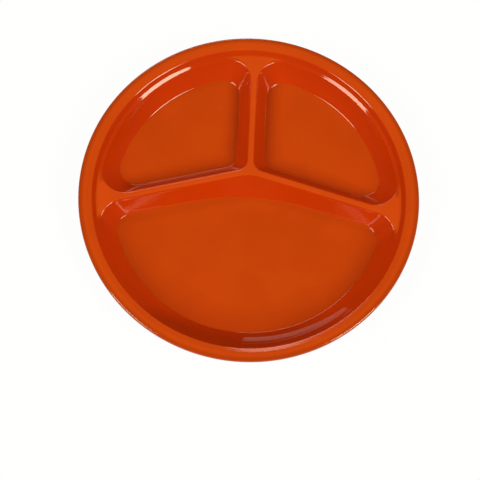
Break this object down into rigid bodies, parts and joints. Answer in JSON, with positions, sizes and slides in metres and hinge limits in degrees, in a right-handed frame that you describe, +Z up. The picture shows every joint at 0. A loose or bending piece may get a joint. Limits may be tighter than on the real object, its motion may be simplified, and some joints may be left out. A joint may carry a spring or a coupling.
{
  "type": "portion plate",
  "caption": "Round divided dinner plate with a crowned rim, a large front compartment and smaller back compartments, kept apart by a hollow Y-shaped divider, for serving measured portions.",
  "frame": {"origin": "middle of the plate's outline, on the plane that the foot rings stand on", "axes": "+Z up out of the compartments, +Y from the large compartment towards the two small ones, +X to the right"},
  "size_m": [0.26, 0.26, 0.023],
  "materials": {
    "orange_plastic": "glossy moulded orange, melamine type"
  },
  "bodies": {
    "root": {"plate": "orange_plastic"}
  },
  "joints": []
}
